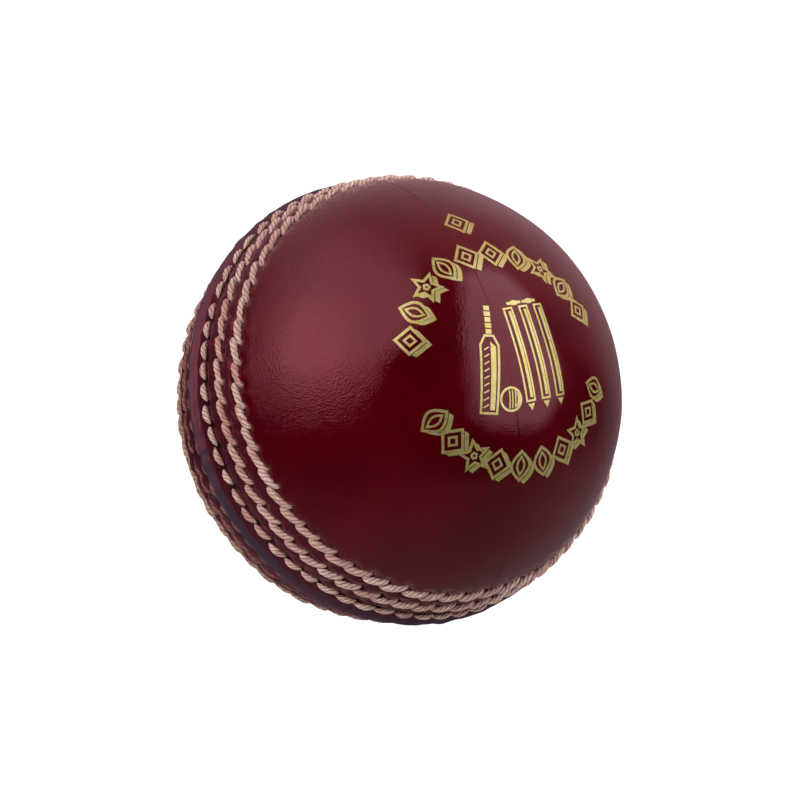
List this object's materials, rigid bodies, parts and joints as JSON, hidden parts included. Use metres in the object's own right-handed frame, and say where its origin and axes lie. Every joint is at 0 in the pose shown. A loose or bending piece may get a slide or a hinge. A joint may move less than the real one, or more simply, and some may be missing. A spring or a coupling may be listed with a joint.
{
  "type": "cricket ball",
  "caption": "Hard leather ball with a raised hand-sewn seam and a gilt emblem, for batting and bowling games.",
  "frame": {"origin": "centre of the ball", "axes": "+Z along the axis of the seam towards the cup with the emblem; the sewn join lies in the XY plane; +Y is the emblem's upright direction and the line of the upper quarter seam"},
  "size_m": [0.074, 0.074, 0.0721],
  "materials": {
    "cork_rubber": "moulded cork and rubber mix",
    "cork": "cut cork sheet",
    "wool": "tightly wound worsted yarn",
    "red_leather": "lacquered and polished",
    "lining": "woven linen strip",
    "fine_thread": "waxed thread",
    "seam_thread": "twisted waxed linen thread, stained by the leather dye",
    "gold_foil": "hot-stamped foil"
  },
  "bodies": {
    "root": {"nucleus": "cork_rubber", "cork_layer_1": "cork", "cork_layer_2": "cork", "cork_layer_3": "cork", "cork_layer_4": "cork", "cork_layer_5": "cork", "wool_winding_1": "wool", "wool_winding_2": "wool", "wool_winding_3": "wool", "wool_winding_4": "wool", "wool_winding_5": "wool", "leather_quarter_upper_a": "red_leather", "leather_quarter_upper_b": "red_leather", "leather_quarter_lower_a": "red_leather", "leather_quarter_lower_b": "red_leather", "quarter_lining_upper": "lining", "quarter_lining_lower": "lining", "quarter_thread_upper": "fine_thread", "quarter_thread_lower": "fine_thread", "stitches_inner_upper": "seam_thread", "stitches_middle_upper": "seam_thread", "stitches_outer_upper": "seam_thread", "stitches_inner_lower": "seam_thread", "stitches_middle_lower": "seam_thread", "stitches_outer_lower": "seam_thread", "closing_thread": "seam_thread", "emblem_foil": "gold_foil"}
  },
  "joints": []
}
